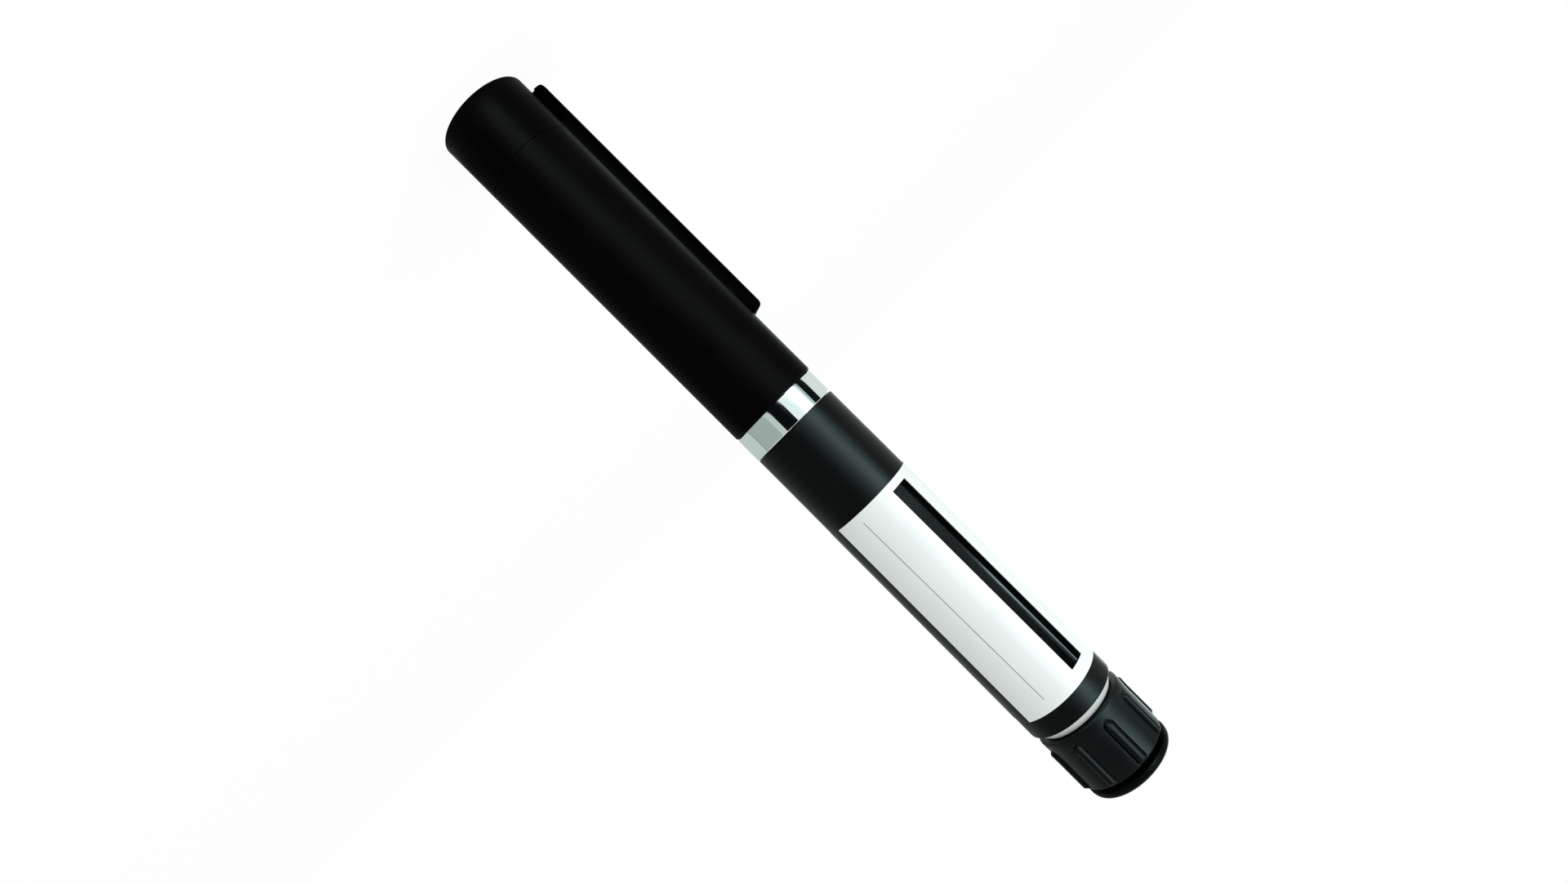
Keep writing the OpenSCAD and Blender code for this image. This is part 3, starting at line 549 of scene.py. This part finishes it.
profile_len, knob_columns = len(outer) + len(inner), RIB_COUNT * len(sides_mm)
for i in range(knob_columns):
    here, there = i * profile_len, (i + 1) % knob_columns * profile_len
    for j in range(profile_len):
        up = (j + 1) % profile_len
        knob_faces.append([here + j, there + j, there + up, here + up])
knob_piece = add_mesh("ribbed_knob", knob_points, knob_faces)
shade_smooth(knob_piece.data, 50)
# The knob's ABS is a shade lighter and glossier than the cap's, so that light and dark lines follow
# each rib.
knob_abs = moulded(
    "grip_black_abs", "#040808", "#060b0b", 0.4, 0.35, 0.003, **{"Specular IOR Level": 0.11}
)
knob_piece.data.materials.append(knob_abs)
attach(knob_piece, "dial")
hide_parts("dial_knob")


# Dose button: a domed cap moulded in black ABS, on a stem that goes down through the knob's web.
# It slides in the knob's well, on the spring.
# It is smoother and darker than the knob, and its dome takes only a soft, dim light.
button_abs = moulded(
    "button_black_abs", "#040606", "#060909", 0.36, 0.5, 0.002, **{"Specular IOR Level": 0.02}
)
dress(button_abs, "dose_button")


# Button spring: a coil wound from drawn spring steel wire, which stands on the knob's web under the
# button and shortens as the button is pressed.
spring_piece = add_object("coil_spring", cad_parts["button_spring"].data.copy())
# Drawn wire is bright, but softer than plating.
drawn_steel = plated("spring_steel_wire", "#a8adb1", 0.25)
spring_piece.data.materials.clear()
spring_piece.data.materials.append(drawn_steel)
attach(spring_piece, "dial")
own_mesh(spring_piece)
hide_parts("button_spring")


# Floor: a plain pale sheet. The camera sees most of it as plain white, so that it meets the
# background without a line, and the rest of it shows the pen's soft shadow.
FLOOR_HALF = 3.0
FLOOR_GLOW, GLOW_SHARE = 1.04, 0.88


def seen_plain(owner):
    """A socket that is 1 for rays from the camera, or sent on by gloss or a clear piece."""
    path = add_node(owner, "ShaderNodeLightPath", {}).outputs
    direct = add_node(
        owner, "ShaderNodeMath", {0: path["Is Camera Ray"], 1: path["Is Transmission Ray"]},
        operation="MAXIMUM",
    )
    plain = add_node(
        owner, "ShaderNodeMath", {0: direct.outputs[0], 1: path["Is Glossy Ray"]},
        operation="MAXIMUM",
    )
    return plain.outputs[0]


floor_corners = [
    (x * FLOOR_HALF, y * FLOOR_HALF, 0.0) for x, y in ((-1, -1), (1, -1), (1, 1), (-1, 1))
]
floor = add_mesh("floor", floor_corners, [(0, 1, 2, 3)])
pale_floor, floor_surface = new_material("pale_floor")
floor_sheet = add_node(pale_floor, "ShaderNodeBsdfDiffuse", {"Color": linear("#f7f8f8")})
floor_glow = add_node(
    pale_floor, "ShaderNodeEmission", {"Color": linear("#ffffff"), "Strength": FLOOR_GLOW}
)
glow_share = add_node(
    pale_floor, "ShaderNodeMath", {0: seen_plain(pale_floor), 1: GLOW_SHARE}, operation="MULTIPLY"
)
floor_mix = add_node(
    pale_floor, "ShaderNodeMixShader",
    {0: glow_share.outputs[0], 1: floor_sheet.outputs[0], 2: floor_glow.outputs[0]},
)
pale_floor.node_tree.links.new(floor_mix.outputs[0], floor_surface)
floor.data.materials.append(pale_floor)


# Studio: a white room that the camera, metal and clear plastic see at full white, and that lights
# the pen more softly.
ROOM_LIGHT = 0.62
world = bpy.data.worlds.new("studio")
bpy.context.scene.world = world
world.use_nodes = True
world.node_tree.nodes.clear()
room_out = add_node(world, "ShaderNodeOutputWorld", {})
room_strength = add_node(
    world, "ShaderNodeMapRange", {"Value": seen_plain(world), "To Min": ROOM_LIGHT, "To Max": 1.0}
)
room = add_node(
    world, "ShaderNodeBackground",
    {"Color": linear("#ffffff"), "Strength": room_strength.outputs["Result"]},
)
world.node_tree.links.new(room.outputs[0], room_out.inputs["Surface"])


# Camera: the photograph's viewpoint. It looks square on at the pen from 160 mm, and is rolled so
# that the pen's axis runs down to the right.
VIEW_DEG, ROLL_DEG = 285.0, 44.93
CAMERA_REACH, CAMERA_SIDE, CAMERA_Z = 159.64, 3.11, 75.1
FOCAL_PX, PHOTO_PX = 1149.4, 1920
view_dir = Vector((math.cos(math.radians(VIEW_DEG)), math.sin(math.radians(VIEW_DEG)), 0))
side_dir = Vector((-math.sin(math.radians(VIEW_DEG)), math.cos(math.radians(VIEW_DEG)), 0))
up_dir = Vector((0, 0, 1))
camera_data = bpy.data.cameras.new("camera")
camera_data.sensor_width = 36.0
camera_data.lens = FOCAL_PX / PHOTO_PX * camera_data.sensor_width
camera_data.clip_start = 0.005
camera_data.clip_end = 20.0
camera = add_object("camera", camera_data)
roll = math.radians(ROLL_DEG)
right = math.cos(roll) * up_dir - math.sin(roll) * side_dir
up = -math.sin(roll) * up_dir - math.cos(roll) * side_dir
stand = CAMERA_REACH * MM * view_dir + CAMERA_SIDE * MM * side_dir + CAMERA_Z * MM * up_dir
camera.matrix_world = Matrix((
    (right.x, up.x, view_dir.x, stand.x),
    (right.y, up.y, view_dir.y, stand.y),
    (right.z, up.z, view_dir.z, stand.z),
    (0, 0, 0, 1),
))
bpy.context.scene.camera = camera


# Cards: black, grey and white cards stand round the pen, and only gloss shows them. They draw the
# dark and light bands in the chrome and the highlights on the black plastics.
CARD_STEP_DEG = 4
# A card's outline from its foot up: reach and height in metres, and its turn in degrees.
CARD_FOOT = (
    (0.0125, 0.0006, 36), (0.05, 0.0006, 33), (0.12, 0.0006, 30), (0.25, 0.0006, 23),
    (0.45, 0.0006, 14), (0.45, 0.045, 10), (0.45, 0.058, 0), (0.45, 0.13, 0), (0.45, 0.22, 5),
    (0.45, 0.33, 11), (0.45, 0.55, 15),
)


def card(name, from_deg, to_deg, colour, strength=1.0):
    """A curved card, with a foot that lies towards the pen. Azimuths start from the camera's."""
    steps = max(2, round((to_deg - from_deg) / CARD_STEP_DEG))
    points, faces, rows = [], [], len(CARD_FOOT)
    for k in range(steps + 1):
        for out, z, skew in CARD_FOOT:
            angle = math.radians(VIEW_DEG + skew + from_deg + (to_deg - from_deg) * k / steps)
            points.append((out * math.cos(angle), out * math.sin(angle), z))
    for k in range(steps):
        for near in range(rows * k, rows * k + rows - 1):
            faces.append([near, near + 1, near + rows + 1, near + rows])
    sheet = add_mesh(name, points, faces)
    sheet.visible_camera = sheet.visible_diffuse = False
    sheet.visible_shadow = sheet.visible_transmission = False
    paper, surface = new_material(name + "_paper")
    face = add_node(
        paper, "ShaderNodeEmission", {"Color": linear(colour), "Strength": strength}
    )
    paper.node_tree.links.new(face.outputs[0], surface)
    sheet.data.materials.append(paper)


card("pale_card_side", -150, -93.5, "#dfe7e4")
card("black_card_side", -93.5, -72.5, "#0c1414")
card("softbox_rim", -72.5, -66, "#e9ffff", 0.55)
card("softbox_edge", -66, -60, "#e9ffff", 1.1)
card("softbox_face", -60, -38, "#dcffff", 14.0)
card("softbox_far_edge", -38, -13.3, "#eef9fc", 1.0)
card("black_card_front", -13.3, 20.4, "#0a0d0f")
card("grey_card_near", 20.4, 34, "#c4cecb")
card("grey_card", 34, 91, "#a3b0ab")
card("grey_card_edge", 91, 94, "#8a9693")
card("pale_card_far", 94, 170, "#c3cfca")
card("back_softbox", 178, 200, "#eaffff", 4.0)


# Lamp: one soft box beside the camera, which faces the middle of the pen and draws a soft shadow.
# Gloss doesn't show it, because the softbox cards stand for it there.
LAMP_DEG, LAMP_REACH, LAMP_HEIGHT = -44.5, 0.6, 0.3
LAMP_AIM = Vector((0, 0, 0.08))
lamp_data = bpy.data.lights.new("side_softbox", "AREA")
lamp_data.shape = "RECTANGLE"
lamp_data.size, lamp_data.size_y = 0.68, 0.8
lamp_data.energy = 2.4
lamp_data.color = linear("#ffffff")[:3]
lamp = add_object("side_softbox", lamp_data)
lamp_turn = math.radians(VIEW_DEG + LAMP_DEG)
lamp.location = (LAMP_REACH * math.cos(lamp_turn), LAMP_REACH * math.sin(lamp_turn), LAMP_HEIGHT)
lamp.rotation_mode = "QUATERNION"
lamp.rotation_quaternion = (LAMP_AIM - lamp.location).to_track_quat("-Z", "Y")
lamp.visible_camera = lamp.visible_glossy = False

bpy.context.scene.view_settings.view_transform = "Standard"
